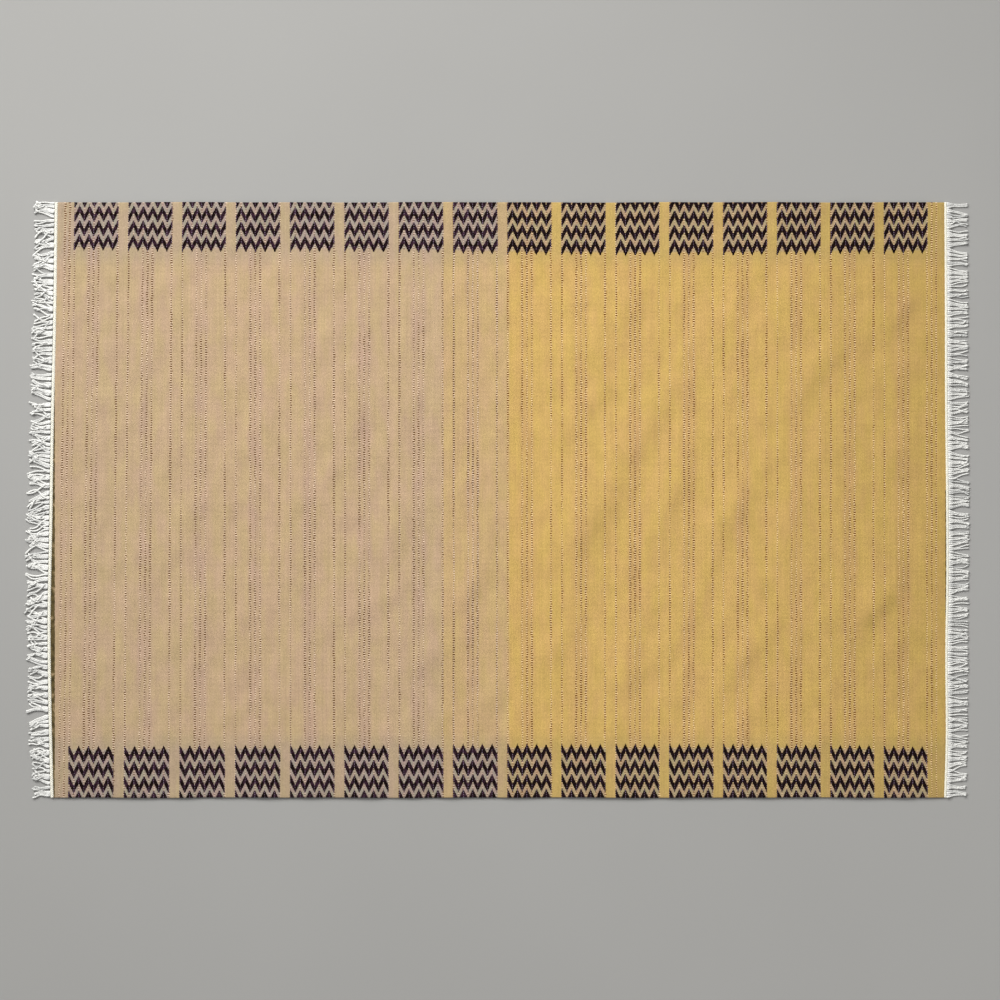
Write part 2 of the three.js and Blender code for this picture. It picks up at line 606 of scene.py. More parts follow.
class RugStageSettings(PropertyGroup):
    """The floor, the lights and the camera."""

    floor_colour: colour("Floor", "Colour of the plain floor", dye(153, 152, 149))
    camera_height: length("Camera height", "Height of the camera above the floor", 4.762)
    lens: FloatProperty(name="Lens", description="Focal length", default=85, unit="CAMERA")
    day_strength: FloatProperty(name="Day", description="Strength of the even slanting light", default=1.66)
    key_power: FloatProperty(name="Key", description="Power of the large key light", default=73, unit="POWER")
    fill_power: FloatProperty(name="Fill", description="Power of the fill light", default=20, unit="POWER")
    sky: FloatProperty(name="Sky", description="Strength of the even light all round", default=0.38)


class Wire:
    """A shader socket that takes part in sums, so that a pattern reads as a formula."""

    def __init__(self, tree, socket):
        self.tree = tree
        self.socket = socket

    def math(self, operation, *others):
        """The outcome of an operation on this value and others."""
        node = self.tree.nodes.new("ShaderNodeMath")
        node.operation = operation
        for place, value in zip(node.inputs, (self, *others)):
            plug(self.tree, place, value)
        return Wire(self.tree, node.outputs[0])

    def __add__(self, other):
        return self.math("ADD", other)

    def __sub__(self, other):
        return self.math("SUBTRACT", other)

    def __mul__(self, other):
        return self.math("MULTIPLY", other)

    def __truediv__(self, other):
        return self.math("DIVIDE", other)

    def __lt__(self, other):
        return self.math("LESS_THAN", other)

    def __gt__(self, other):
        return self.math("GREATER_THAN", other)

    def floor(self):
        return self.math("FLOOR")

    def fraction(self):
        return self.math("FRACT")

    def size(self):
        return self.math("ABSOLUTE")

    def near(self, middle, reach):
        """1 within reach of the middle, and 0 elsewhere."""
        return (self - middle).size() < reach

    def either(self, other):
        return self.math("MAXIMUM", other)

    def smooth(self, low, high, start=0.0, end=1.0):
        """Rises softly from start to end as the value goes from low to high."""
        node = self.tree.nodes.new("ShaderNodeMapRange")
        node.interpolation_type = "SMOOTHSTEP"
        for place, value in zip(node.inputs, (self, low, high, start, end)):
            plug(self.tree, place, value)
        return Wire(self.tree, node.outputs[0])


def plug(tree, place, value):
    """Joins a wire to a node's input, or sets a plain value there."""
    if isinstance(value, Wire):
        tree.links.new(value.socket, place)
    elif hasattr(value, "__len__"):
        place.default_value = (*value[:3], 1.0)
    else:
        place.default_value = value


def vector(tree, x, y, z=0.0):
    """A place or a colour from its parts."""
    node = tree.nodes.new("ShaderNodeCombineXYZ")
    for place, value in zip(node.inputs, (x, y, z)):
        plug(tree, place, value)
    return Wire(tree, node.outputs[0])


def noise(tree, place, scale, detail=2.0):
    """Soft noise from 0 to 1 around one half."""
    node = tree.nodes.new("ShaderNodeTexNoise")
    node.inputs["Scale"].default_value = scale
    node.inputs["Detail"].default_value = detail
    tree.links.new(place.socket, node.inputs["Vector"])
    return Wire(tree, node.outputs["Fac"])


def speckle(tree, place):
    """One even random value for each place."""
    node = tree.nodes.new("ShaderNodeTexWhiteNoise")
    tree.links.new(place.socket, node.inputs["Vector"])
    return Wire(tree, node.outputs["Value"])


def mix(tree, share, first, second, mode="MIX"):
    """The first colour turning into the second as the share goes from 0 to 1."""
    node = tree.nodes.new("ShaderNodeMix")
    node.data_type = "RGBA"
    node.blend_type = mode
    plug(tree, node.inputs["Factor"], share)
    plug(tree, node.inputs[6], first)
    plug(tree, node.inputs[7], second)
    return Wire(tree, node.outputs[2])


def multiply(tree, first, second, share=1.0):
    """The first colour tinted by the second."""
    return mix(tree, share, first, second, "MULTIPLY")


def tone(tree, value):
    """A grey of that lightness, to tint a colour with."""
    return vector(tree, value, value, value)


def object_places(tree):
    """A point's place in the rug's own frame."""
    return Wire(tree, tree.nodes.new("ShaderNodeTexCoord").outputs["Object"])


def split(tree, place):
    """The first two coordinates of a place."""
    node = tree.nodes.new("ShaderNodeSeparateXYZ")
    tree.links.new(place.socket, node.inputs[0])
    return Wire(tree, node.outputs[0]), Wire(tree, node.outputs[1])


def blank_material(name):
    """A new material, its node tree and its shader."""
    material = bpy.data.materials.new(name)
    material.use_nodes = True
    tree = material.node_tree
    return material, tree, tree.nodes["Principled BSDF"]


def map_places(tree, name):
    """The two coordinates of a piece's own map."""
    node = tree.nodes.new("ShaderNodeUVMap")
    node.uv_map = name
    return split(tree, Wire(tree, node.outputs["UV"]))


def roughen(tree, shader, height, depth):
    """Raises a bump of that depth in metres on a shader."""
    node = tree.nodes.new("ShaderNodeBump")
    node.inputs["Distance"].default_value = depth
    tree.links.new(height.socket, node.inputs["Height"])
    tree.links.new(node.outputs["Normal"], shader.inputs["Normal"])


def set_surface(shader, roughness, gloss, sheen=0.0, sheen_roughness=0.5):
    """Sets how dull and glossy a shader is, and the soft bloom of its fibres."""
    shader.inputs["Roughness"].default_value = roughness
    shader.inputs["Specular IOR Level"].default_value = gloss
    shader.inputs["Sheen Weight"].default_value = sheen
    shader.inputs["Sheen Roughness"].default_value = sheen_roughness


def ground_zones(tree, weave, along):
    """The dye zones of the weft along the rug."""
    node = tree.nodes.new("ShaderNodeValToRGB")
    marks = node.color_ramp.elements
    while len(marks) < len(DYE_ZONES):
        marks.new(0.5)
    for mark, (place, name) in zip(marks, DYE_ZONES):
        mark.position = (place + CHANGE_REACH) / (2 * CHANGE_REACH)
        mark.color = (*getattr(weave, name), 1.0)
    share = along.math("MULTIPLY_ADD", 1 / (2 * CHANGE_REACH), 0.5)
    tree.links.new(share.socket, node.inputs["Fac"])
    return Wire(tree, node.outputs["Color"])


class Beads(NamedTuple):
    """The weft's visible beads: where a point's bead lies on the cloth, its pick and warp, and its relief."""

    along: Wire
    across: Wire
    pick: Wire
    warp: Wire
    odd: Wire
    relief: Wire


def bead_grid(tree, weave, along, across):
    """Beads of the weft over the warp, half a pick apart on neighbouring warps."""
    stray = noise(tree, vector(tree, along * STRAY_STRETCH, across), STRAY_SCALE, detail=3.0) - 0.5
    rib = across / weave.warp_pitch
    warp = rib.floor()
    odd = warp.math("FLOORED_MODULO", 2.0)
    shot = (along + stray * weave.wander) / weave.pick_pitch + odd * 0.5
    pick = shot.floor()
    crown = (rib.fraction() - 0.5) * 2.0
    swell = (shot.fraction() - 0.5) * 2.0
    return Beads(
        along=(pick - odd * 0.5 + 0.5) * weave.pick_pitch,
        across=(warp + 0.5) * weave.warp_pitch,
        pick=pick,
        warp=warp,
        odd=odd,
        relief=(crown * crown * -1.0 + 1.0) * CROWN_SHARE + (swell * swell * -1.0 + 1.0) * (1 - CROWN_SHARE),
    )


class Turns(NamedTuple):
    """A bead's place in the repeat: its block, the turning lines passed, the nearest one and its offset."""

    block: Wire
    passed: Wire
    line: Wire
    off_line: Wire


def count_turns(weave, along):
    """Counts blocks and turning lines along the rug."""
    mid_bow = (along * along) * (-1 / weave.drift_reach**2) + 1.0
    half_dot = weave.dot_width / 2
    repeat = (along - mid_bow * weave.hand_drift - weave.first_block + half_dot) / weave.repeat
    in_repeat = weave.repeat / weave.turn
    ahead = (repeat < 0.0) * (in_repeat % 1)
    passed = repeat.fraction() * in_repeat - half_dot / weave.turn - ahead
    line = (passed + 0.5).floor()
    return Turns(block=repeat.floor(), passed=passed, line=line, off_line=(passed - line) * weave.turn)


def row_start(along, edge):
    """Distance from the selvedge to the middle of the row that it cuts."""
    start = along * 0.0 + edge.first * MM
    for creep in edge.creeps:
        start = start + along.smooth(creep.begin * MM, creep.end * MM, 0.0, creep.by * MM)
    return start


def stroke_of(along, edge):
    """Thickness of a selvedge's zigzag rows, which grows a little from the left end to the right one."""
    left, right = edge.stroke
    return along.smooth(-CHANGE_REACH, CHANGE_REACH, left * MM, right * MM)


def zigzag_rows(weave, cloth, beads, turns):
    """The dark strokes of the zigzag rows, and the patch of light ground that they stand on."""
    back = beads.across > 0.0
    front = back * -1.0 + 1.0
    from_selvedge = beads.across.size() * -1.0 + cloth.wide_side / 2
    start = row_start(beads.along, BACK_ROWS) * back + row_start(beads.along, FRONT_ROWS) * front
    pitch = back * (BACK_ROWS.pitch * MM) + front * (FRONT_ROWS.pitch * MM)
    height = back * (BACK_ROWS.swing * MM) + front * (FRONT_ROWS.swing * MM)
    stroke = stroke_of(beads.along, BACK_ROWS) * back + stroke_of(beads.along, FRONT_ROWS) * front
    swing = (turns.passed.math("PINGPONG", 1.0) * -1.0 + 0.5) * height
    level = (from_selvedge - start - swing) / pitch
    row = (level + 0.5).floor()
    in_block = turns.passed.near(weave.turns / 2, weave.turns / 2 + BLOCK_MARGIN)
    in_block = in_block * (turns.block > -0.5) * (turns.block < weave.blocks - 0.5)
    in_stroke = (level - row).size() * pitch < stroke / 2.0
    inner_edge = start + pitch * weave.full_rows + height * 0.5
    patch = (from_selvedge - inner_edge).smooth(*PATCH_EDGE, 1.0, 0.0) * in_block
    return in_stroke * (row < weave.full_rows + 0.5) * in_block, patch


def dotted_lines(tree, weave, beads, turns, patch, worn):
    """The picks of the dotted lines: five in a repeat, more at the ends, and all turning lines in a patch."""
    last = turns.block > weave.blocks - 1.5
    outer = (turns.block < -0.5).either(last)
    sides = turns.line.near(0.0, 0.5).either(turns.line.near(weave.turns, 0.5))
    lines = sides.either(turns.line.near(TRIPLE_LINE, 1.5)) * (turns.block < weave.blocks - 0.5)
    lines = lines.either(turns.line.near(weave.turns + 1, 0.5) * outer)
    lines = lines.either(turns.line.near(weave.turns + 2, 0.5) * last)
    own_dot = vector(tree, beads.warp, turns.line + turns.block * DOT_STRIDE)
    jitter = (speckle(tree, own_dot) - 0.5) * weave.dot_jitter
    half_width = (worn * DOT_THICKEN + DOT_THIN) * weave.dot_width
    return turns.off_line.near(jitter, half_width) * lines.either(patch > 0.5)


class WoolPattern:
    """The woven colours at each point of the cloth, from its place, its bead and its turn in the repeat."""

    def __init__(self, tree, weave, cloth):
        self.tree = tree
        self.weave = weave
        self.along, self.across = map_places(tree, CLOTH_MAP)
        self.beads = bead_grid(tree, weave, self.along, self.across)
        self.turns = count_turns(weave, self.beads.along)
        self.strokes, self.patch = zigzag_rows(weave, cloth, self.beads, self.turns)
        self.right_half = self.along.smooth(*RIGHT_HALF)
        self.own_line = self.turns.line * LINE_STRIDE + self.turns.block * BLOCK_STRIDE
        self.worn = self.uneven(WORN, self.own_line)
        self.faded = self.uneven(FADED, self.own_line + FADE_STRIDE)
        self.on_line = dotted_lines(tree, weave, self.beads, self.turns, self.patch, self.worn)

    def uneven(self, grain, along):
        """A chance unevenness across the rug and along its length, its lines or its picks."""
        place = vector(self.tree, along * grain.along, self.across * grain.across)
        return noise(self.tree, place, 1.0).smooth(grain.low, grain.high, grain.least, grain.most)

    def ground(self):
        """The light weft: its dye zones, the blush between close lines, the blocks' ground, the casts and the
        painted shade towards the selvedges.
        """
        tree, weave = self.tree, self.weave
        close = (self.turns.passed - TRIPLE_LINE).size().smooth(*BLUSH_REACH, 1.0, 0.0)
        end_line = weave.first_block
        close = close.either(self.along.smooth(end_line, end_line + END_BLUSH_REACH, END_BLUSH, 0.0))
        blush = close * self.uneven(BLUSH, self.along)
        blush = blush * self.right_half.math("MULTIPLY_ADD", 1 - LEFT_BLUSH, LEFT_BLUSH)
        ground = multiply(tree, ground_zones(tree, weave, self.along), weave.rose_cast, blush)
        block_ground = mix(tree, self.right_half, weave.block_left, weave.block_right)
        ground = mix(tree, self.patch * PATCH_STRENGTH, ground, block_ground)
        cast = mix(tree, self.uneven(CAST, self.along), weave.straw_cast, weave.pink_cast)
        ground = multiply(tree, ground, cast, CAST_STRENGTH)
        hue = mix(tree, self.uneven(HUE, self.along), weave.moss_cast, weave.brick_cast)
        ground = multiply(tree, ground, hue, self.patch * CAST_STRENGTH)
        # Painted shade that darkens and greys the weft towards the selvedges
        return multiply(tree, ground, weave.selvedge_shade, self.across.size().smooth(*SELVEDGE_SHADE))

    def dotted(self, ground):
        """The ground with its dotted lines, dark and light by turns and worn in places."""
        tree, weave = self.tree, self.weave
        light_dot = mix(tree, self.right_half, weave.dot_pink, weave.dot_straw)
        dark_dot = mix(tree, self.right_half, weave.dot_brown, weave.dot_olive)
        place = (self.across / weave.warp_pitch + self.turns.line).math("FLOORED_MODULO", 2.0)
        light = place > weave.dark_share * 2
        wear = self.worn + (self.faded - self.worn) * light
        chance = speckle(tree, vector(tree, self.own_line, self.beads.warp))
        strength = wear * DOT_WEAR + chance * DOT_CHANCE - light * LIGHT_DOT_LOSS + DOT_LEAST
        strength = strength * (self.patch * -PATCH_DOT_LOSS + 1.0)
        return mix(tree, self.on_line * strength, ground, mix(tree, light, dark_dot, light_dot))

    def figured(self, ground):
        """The ground with the dark zigzags, their plum streaks and the light dots on their turning lines."""
        tree, weave = self.tree, self.weave
        plum_share = self.right_half.math("MULTIPLY_ADD", PLUM_RIGHT - PLUM_LEFT, PLUM_LEFT)
        plum_share = self.uneven(PLUM_STREAK, self.beads.pick) * plum_share
        dark = mix(tree, plum_share, weave.figure, weave.plum)
        glint = self.turns.off_line.near(0.0, weave.pick_pitch / 2) * self.on_line * self.beads.odd
        dark = mix(tree, glint * (self.worn * GLINT_WEAR + GLINT_LEAST), dark, weave.lilac)
        return mix(tree, self.strokes, ground, dark)

    def tone_and_bead_shade(self):
        """Lighter and darker picks, slubs, soft blotches and single beads, and the painted shade that darkens
        each bead towards its edges.
        """
        picks = self.uneven(PICK_STREAK, self.beads.pick)
        wool = self.uneven(SLUB, self.along) * self.uneven(BLOTCHES, self.along)
        own_bead = speckle(self.tree, vector(self.tree, self.beads.pick, self.beads.warp))
        bead = own_bead.math("MULTIPLY_ADD", BEAD_SPREAD, 1 - BEAD_SPREAD / 2)
        # Painted shade: each bead darker towards its edges
        return picks * wool * bead * self.beads.relief.smooth(*BEAD_SHADE)


def woven_wool(weave, cloth):
    """Weft-faced wool: dye zones, dotted pick lines, zigzag blocks and the beaded surface of the weave."""
    material, tree, shader = blank_material("woven_wool")
    wool = WoolPattern(tree, weave, cloth)
    cloth_colour = wool.figured(wool.dotted(wool.ground()))
    # Dark olive painted shade where the cloth's ends turn under
    end_shade = painted_end_shade_colour(tree, weave, wool.along, wool.across)
    cloth_colour = mix(tree, painted_end_shade_band(tree, cloth), cloth_colour, end_shade)
    cloth_colour = multiply(tree, cloth_colour, tone(tree, wool.tone_and_bead_shade()))
    tree.links.new(cloth_colour.socket, shader.inputs["Base Color"])
    fuzz = noise(tree, vector(tree, wool.along, wool.across), FUZZ_SCALE, detail=3.0)
    roughen(tree, shader, wool.beads.relief + fuzz * FUZZ_SHARE, BEAD_DEPTH)
    set_surface(shader, roughness=0.92, gloss=0.06, sheen=0.06, sheen_roughness=0.5)
    return material


def painted_end_shade_band(tree, cloth):
    """Where the painted shade of the cloth's turned-under ends shows, as dark olive picks: in the left end's
    bulge and a stretch of the right end.
    """
    x, y = split(tree, object_places(tree))
    half_long = cloth.long_side / 2
    ragged = (noise(tree, vector(tree, y, 0.0), END_SHADE_SCALE) - 0.5) * END_SHADE_RAGGED
    left = (x + ragged).smooth(END_SHADE_EDGE - half_long, END_SHADE_FADE - half_long, 1.0, 0.0)
    right = (x + ragged).smooth(half_long - END_SHADE_EDGE, half_long) * y.near(END_SHADE_MIDDLE, END_SHADE_REACH)
    return left.either(right)


def painted_end_shade_colour(tree, weave, along, across):
    """Painted shade for the cloth's turned-under ends: mottled olive picks, with some of the field's wool
    among them.
    """
    mottle = noise(tree, vector(tree, along, across), MOTTLE_SCALE, detail=4.0)
    picks = multiply(tree, weave.end_shade_olive, tone(tree, mottle.smooth(*MOTTLE_SHADE)))
    return mix(tree, mottle.smooth(*MOTTLE_WOOL), picks, weave.beige)


def plied_cotton(name, light, shaded):
    """Bleached plied cotton: fine fibres along the plies and a slightly different shade from yarn to yarn."""
    material, tree, shader = blank_material(name)
    around, along = map_places(tree, YARN_MAP)
    node = tree.nodes.new("ShaderNodeAttribute")
    node.attribute_name = TINT
    tint = Wire(tree, node.outputs["Fac"])
    slant = around * FIBRE_ROUND + along * FIBRE_SLANT
    fibre = noise(tree, vector(tree, slant, along * FIBRE_CHANGE, tint * TINT_STRIDE), 1.0, detail=3.0)
    share = (tint * TINT_SHARE + fibre * (1 - TINT_SHARE) - SHADE_START).smooth(*SHADE_EDGE)
    tree.links.new(mix(tree, share, light, shaded).socket, shader.inputs["Base Color"])
    roughen(tree, shader, fibre, COTTON_DEPTH)
    set_surface(shader, roughness=0.85, gloss=0.25, sheen=0.35, sheen_roughness=0.45)
    return material


def plain_cotton(name, shade):
    """Cotton of one colour, for fibres too fine to show more."""
    material, _, shader = blank_material(name)
    shader.inputs["Base Color"].default_value = (*shade, 1.0)
    set_surface(shader, roughness=0.9, gloss=0.2)
    return material


def studio_floor(shade):
    """A plain matt floor with the faintest unevenness."""
    material, tree, shader = blank_material("studio_floor")
    cloud = noise(tree, object_places(tree), CLOUD_SCALE, detail=3.0).smooth(*CLOUD_SHADE)
    tree.links.new(multiply(tree, shade, tone(tree, cloud)).socket, shader.inputs["Base Color"])
    set_surface(shader, roughness=0.9, gloss=0.1)
    return material


def read_rows(rows, column, places):
    """A column of an end's rows, in metres, read on a smooth curve at any places across the rug."""
    across = np.array([row.across for row in rows]) * MM
    values = np.array([getattr(row, column) for row in rows]) * MM
    slopes = np.gradient(values, across)
    slot = np.clip(np.searchsorted(across, places) - 1, 0, len(rows) - 2)
    span = across[slot + 1] - across[slot]
    part = (places - across[slot]) / span
    rest = 1 - part
    return (
        values[slot] * (1 + 2 * part) * rest**2
        + values[slot + 1] * (3 - 2 * part) * part**2
        + span * part * rest * (slopes[slot] * rest - slopes[slot + 1] * part)
    )


def soft_step(value):
    """Rises softly from 0 to 1 with the value."""
    value = np.clip(value, 0, 1)
    return value * value * (3 - 2 * value)


def lumps(x, y):
    """Small chance unevenness of the lying cloth, from 0 to 1."""
    heights = np.random.default_rng(LUMP_SEED).random((LUMP_GRID, LUMP_GRID))
    along = (x * math.cos(LUMP_ANGLE) + y * math.sin(LUMP_ANGLE)) / LUMP_LENGTH + LUMP_GRID / 2
    aside = (y * math.cos(LUMP_ANGLE) - x * math.sin(LUMP_ANGLE)) / LUMP_WIDTH + LUMP_GRID / 2
    column = np.floor(along).astype(int)
    row = np.floor(aside).astype(int)
    right = soft_step(along - column)
    up = soft_step(aside - row)
    low = heights[row, column] * (1 - right) + heights[row, column + 1] * right
    high = heights[row + 1, column] * (1 - right) + heights[row + 1, column + 1] * right
    return low * (1 - up) + high * up


def lift_of(x, y):
    """Height of the lying cloth's soft folds above its lowest points."""
    lift = np.zeros_like(x)
    for fold in FOLDS:
        turned = math.radians(fold.angle)
        dx = x / MM - fold.x
        dy = y / MM - fold.y
        run = dx * math.cos(turned) + dy * math.sin(turned)
        aside = dy * math.cos(turned) - dx * math.sin(turned)
        aside = aside - FOLD_CURVE * run * run
        width = fold.width * np.where(aside > 0, FOLD_GENTLE, FOLD_STEEP)
        lift += fold.height * MM * np.exp(-((run / fold.length * 2) ** 2) - (aside / width * 2) ** 2)
    from_end = bpy.context.scene.rug_cloth.long_side / 2 - np.abs(x)
    return (lift + LUMP_HEIGHT * lumps(x, y)) * soft_step(from_end / FLAT_END)


def start_piece():
    """Deselects everything, so that the next operator acts on the new piece alone."""
    bpy.ops.object.select_all(action="DESELECT")


def finish_piece(piece, slot, material, *nodes):
    """Gives a piece its material, its body and the solids that it stands for."""
    piece.data.materials.clear()
    piece.data.materials.append(material)
    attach(piece, "root")
    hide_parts(*nodes)


def set_map(mesh, name, places):
    """Gives a mesh a map from one place for each corner of its faces."""
    layer = mesh.uv_layers.new(name=name)
    layer.uv.foreach_set("vector", places.astype(np.float32).ravel())


def mesh_numbers(items, kind, width, number=float):
    """One property of a mesh's points, corners or faces as rows of numbers."""
    flat = np.empty(len(items) * width, number)
    items.foreach_get(kind, flat)
    return flat.reshape(-1, width)


class RUG_OT_weave_field(Operator):
    """Weave the rug's field: one thin sheet lying in soft low folds"""

    bl_idname = "rug.weave_field"
    bl_label = "Weave the field"

    def execute(self, context):
        cloth = context.scene.rug_cloth
        start_piece()
        bpy.ops.mesh.primitive_grid_add(
            x_subdivisions=round(cloth.long_side / cloth.cell),
            y_subdivisions=round(cloth.wide_side / cloth.cell),
            size=2.0,
        )
        piece = context.object
        piece.name = piece.data.name = "woven_field"
        self.lay(piece.data, cloth)
        self.thicken(piece, cloth)
        bpy.ops.object.shade_smooth()
        self.map_cloth(piece.data, cloth)
        finish_piece(piece, "weave", woven_wool(context.scene.rug_weave, cloth), "rug_field")
        return {"FINISHED"}

    def lay(self, mesh, cloth):
        """Moves the points of a flat sheet to where the cloth lies."""
        half_long = cloth.long_side / 2
        half_wide = cloth.wide_side / 2
        flat = mesh_numbers(mesh.vertices, "co", 3)
        x = flat[:, 0] * half_long
        y = flat[:, 1] * half_wide
        left = soft_step(1 - (half_long + x) / cloth.end_reach)
        right = soft_step(1 - (half_long - x) / cloth.end_reach)
        laid_x = x - left * read_rows(LEFT_END.rows, "bow", y) + right * read_rows(RIGHT_END.rows, "bow", y)
        near_side = soft_step((np.abs(y) - half_wide + WAVER_DEPTH) / WAVER_DEPTH)
        waver = WAVER * np.sin(laid_x * WAVER_QUICK + np.sign(y)) * np.sin(laid_x * WAVER_SLOW) * near_side
        base = cloth.floor_gap + lift_of(laid_x, y)
        mesh.vertices.foreach_set("co", np.stack([laid_x, y + waver, base + cloth.thickness], 1).ravel())
        while mesh.uv_layers:
            mesh.uv_layers.remove(mesh.uv_layers[0])
        mesh.update()

    def thicken(self, piece, cloth):
        """Gives the sheet its thickness and rounds its edges."""
        solid = piece.modifiers.new("thickness", "SOLIDIFY")
        solid.thickness = cloth.thickness
        solid.offset = -1
        bpy.ops.object.modifier_apply(modifier=solid.name)
        rim = piece.modifiers.new("rim", "BEVEL")
        rim.width = cloth.rim
        rim.segments = RIM_SEGMENTS
        rim.limit_method = "ANGLE"
        rim.angle_limit = RIM_ANGLE
        bpy.ops.object.modifier_apply(modifier=rim.name)

    def map_cloth(self, mesh, cloth):
        """Maps the pattern in metres, with the left end's picks aslant, and lays both faces out flat."""
        spots = mesh_numbers(mesh.vertices, "co", 3)
        corners = mesh_numbers(mesh.loops, "vertex_index", 1, int)[:, 0]
        x, y, z = spots[corners].T
        slant = np.where(y > 0, cloth.skew_back, cloth.skew_front) * y / (cloth.wide_side / 2)
        slant = slant * soft_step(1 - (cloth.long_side / 2 + x) / cloth.skew_reach)
        set_map(mesh, CLOTH_MAP, np.stack([x - slant, y], 1))
        facing = mesh_numbers(mesh.polygons, "normal", 3)[:, 2]
        sizes = mesh_numbers(mesh.polygons, "loop_total", 1, int)[:, 0]
        under = np.repeat(facing < UNDER_NORMAL, sizes)
        drop = np.where(under, 0, cloth.floor_gap + lift_of(x, y) + cloth.thickness - z)
        wide = (x + np.sign(x) * drop) / (cloth.long_side + ROOM_LONG) + 0.5
        deep = (y + np.sign(y) * drop) / (cloth.wide_side + ROOM_WIDE) + 0.5
        deep = np.where(under, UNDER_HEIGHT * deep, UPPER_START + (1 - UPPER_START) * deep)
        set_map(mesh, BAKE_MAP, np.stack([wide, deep], 1))


def end_place(end, across, outwards):
    """X of a line that follows a woven end, moved outwards."""
    half_long = bpy.context.scene.rug_cloth.long_side / 2
    return end.side * (half_long + read_rows(end.rows, "bow", across) + outwards)


class YarnMake(NamedTuple):
    """A yarn's make: twist is the length of a turn, taper its thickness by steps, turn where it starts."""

    radius: float
    twist: float
    sides: int
    taper: np.ndarray
    groove: float
    turn: np.ndarray = np.zeros(1)


def sweep(paths, make):
    """Two-ply yarns swept along their paths: their points, their faces and the length gone at each step."""
    count, steps, _ = paths.shape
    ahead = np.gradient(paths, axis=1)
    ahead /= np.linalg.norm(ahead, axis=2, keepdims=True)
    aside = np.cross(ahead, (0.0, 0.0, 1.0))
    aside /= np.linalg.norm(aside, axis=2, keepdims=True)
    above = np.cross(aside, ahead)
    gone = np.linalg.norm(np.diff(paths, axis=1), axis=2)
    gone = np.concatenate([np.zeros((count, 1)), np.cumsum(gone, axis=1)], 1)
    around = np.arange(make.sides) / make.sides * 2 * math.pi
    reach = make.radius * (1 - make.groove * (0.5 - 0.5 * np.cos(2 * around)))
    reach = reach[None, None, :] * make.taper[None, :, None]
    spun = around[None, None, :] + (gone / make.twist * 2 * math.pi + make.turn)[:, :, None]
    points = (
        paths[:, :, None, :]
        + aside[:, :, None, :] * (reach * np.cos(spun))[..., None]
        + above[:, :, None, :] * (reach * np.sin(spun))[..., None]
    )
    index = np.arange(count * steps * make.sides).reshape(count, steps, make.sides)
    beside = np.roll(index, -1, axis=2)
    quads = np.stack([index[:, :-1], index[:, 1:], beside[:, 1:], beside[:, :-1]], -1).reshape(-1, 4)
    lids = [*index[:, 0].tolist(), *index[:, -1, ::-1].tolist()]
    return points.reshape(-1, 3), quads.tolist() + lids, gone


def strip_maps(count, steps, sides, gone):
    """Maps of swept yarns, corner by corner: round and along each yarn, and laid out as a sheet of strips."""
    yarn, step, side = np.indices((count, steps - 1, sides)).reshape(3, -1, 1)
    step = step + np.array((0, 1, 1, 0))
    turned = (side + np.array((0, 0, 1, 1))) / sides
    lid_end, lid_yarn, lid_side = np.indices((2, count, sides)).reshape(3, -1)
    lid_turn = lid_side / sides * 2 * math.pi
    along = np.append(gone[yarn, step], gone[lid_yarn, lid_end * (steps - 1)])
    yarn_map = np.stack([np.append(turned, lid_side / sides), along], 1)
    columns = math.ceil(math.sqrt(count))
    rows = math.ceil(count / columns)
    owner = np.append(np.repeat(yarn, 4), lid_yarn)
    lid_u = LID_ASIDE + LID_RADIUS * np.cos(lid_turn)
    lid_v = LID_START + LID_APART * lid_end + LID_RADIUS * np.sin(lid_turn)
    u = np.append(STRIP_MARGIN + STRIP_WIDE * turned, lid_u)
    v = np.append(STRIP_MARGIN + STRIP_LONG * step / (steps - 1), lid_v)
    return yarn_map, np.stack([(owner % columns + u) / columns, (owner // columns + v) / rows], 1)


def yarn_piece(name, end, material, paths, tints, make):
    """A piece of many yarns, each with its own tint."""
    points, faces, gone = sweep(paths, make)
    count, steps, _ = paths.shape
    mesh = bpy.data.meshes.new(name)
    mesh.from_pydata(points.tolist(), [], faces)
    yarn_map, strips = strip_maps(count, steps, make.sides, gone)
    set_map(mesh, YARN_MAP, yarn_map)
    set_map(mesh, BAKE_MAP, strips)
    layer = mesh.attributes.new(TINT, "FLOAT", "POINT")
    layer.data.foreach_set("value", np.repeat(tints, steps * make.sides).astype(np.float32))
    mesh.shade_smooth()
    piece = bpy.data.objects.new(name, mesh)
    bpy.context.collection.objects.link(piece)
    finish_piece(piece, "warp_cotton", material, end.node)


class RUG_OT_twine_cords(Operator):
    """Twine a white three-strand cord along each woven end"""

    bl_idname = "rug.twine_cords"
    bl_label = "Twine the end cords"

    def execute(self, context):
        fringe = context.scene.rug_fringe
        half_wide = context.scene.rug_cloth.wide_side / 2
        material = plied_cotton("cord_cotton", fringe.cream, fringe.dull_cream)
        taper = np.ones(CORD_STEPS)
        taper[[0, -1]] = CORD_TIP
        tints = np.linspace(*CORD_TINTS, CORD_STRANDS)
        across = np.linspace(-half_wide, half_wide, CORD_STEPS)
        angle = across / fringe.cord_twist * 2 * math.pi
        for end in ENDS:
            strand = STRAND_SHARE * end.cord_radius
            orbit = end.cord_radius - strand
            middle = end.cord_radius - fringe.cord_tuck
            rise = end.cord_height * end.cord_radius - strand
            paths = []
            for start in np.arange(CORD_STRANDS) / CORD_STRANDS * 2 * math.pi:
                out = middle + orbit * np.cos(angle + start)
                up = strand + rise * (1 + np.sin(angle + start))
                paths.append(np.stack([end_place(end, across, out), across, up], 1))
            make = YarnMake(strand, STRAND_TURN * fringe.cord_twist, CORD_SIDES, taper, CORD_GROOVE)
            yarn_piece(f"end_cord_{end.word}", end, material, np.array(paths), tints, make)
        return {"FINISHED"}


